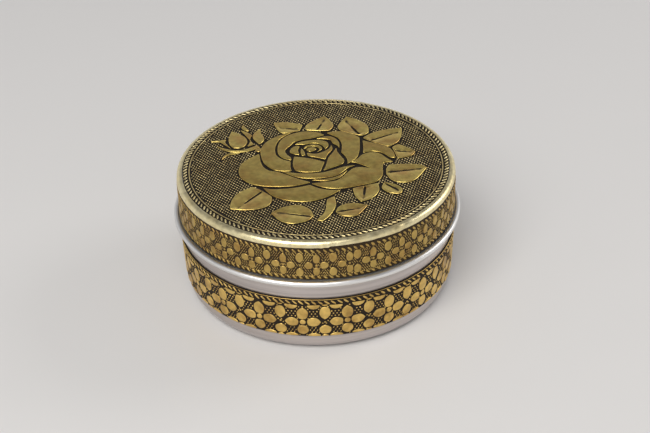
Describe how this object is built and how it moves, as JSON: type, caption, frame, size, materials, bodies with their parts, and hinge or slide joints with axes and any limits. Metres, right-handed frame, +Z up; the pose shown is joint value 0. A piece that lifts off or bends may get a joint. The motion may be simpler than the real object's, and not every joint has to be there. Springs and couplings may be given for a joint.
{
  "type": "dry fruit box",
  "caption": "Round slip-lid tin of drawn aluminium, its lid and side dressed in embossed antique-gold foil: a rose on a knurled ground, rope borders and flower bands.",
  "frame": {"origin": "middle of the underside, on the surface that the box stands on", "axes": "+Z up along the axis that the lid lifts on, -Y to the front of the lid's rose, +X to its right"},
  "size_m": [0.1, 0.1, 0.045],
  "materials": {
    "aluminium": "spun satin aluminium, brighter on the rolled edge",
    "top_foil": "embossed foil in olive antique gold, dark in the recesses",
    "band_foil": "embossed foil in warm antique gold, dark in the recesses, bare bright margin",
    "glue": "thin amber adhesive film, hidden"
  },
  "bodies": {
    "base": {"base_shell": "aluminium", "base_band": "band_foil", "base_band_glue": "glue"},
    "lid": {"lid_shell": "aluminium", "lid_top_plate": "top_foil", "lid_top_glue": "glue", "lid_band": "band_foil", "lid_band_glue": "glue"}
  },
  "joints": [
    {"name": "lid_lift", "type": "slide", "parent": "base", "child": "lid", "axis": [0, 0, 1], "range_m": [0, 0.06]}
  ]
}
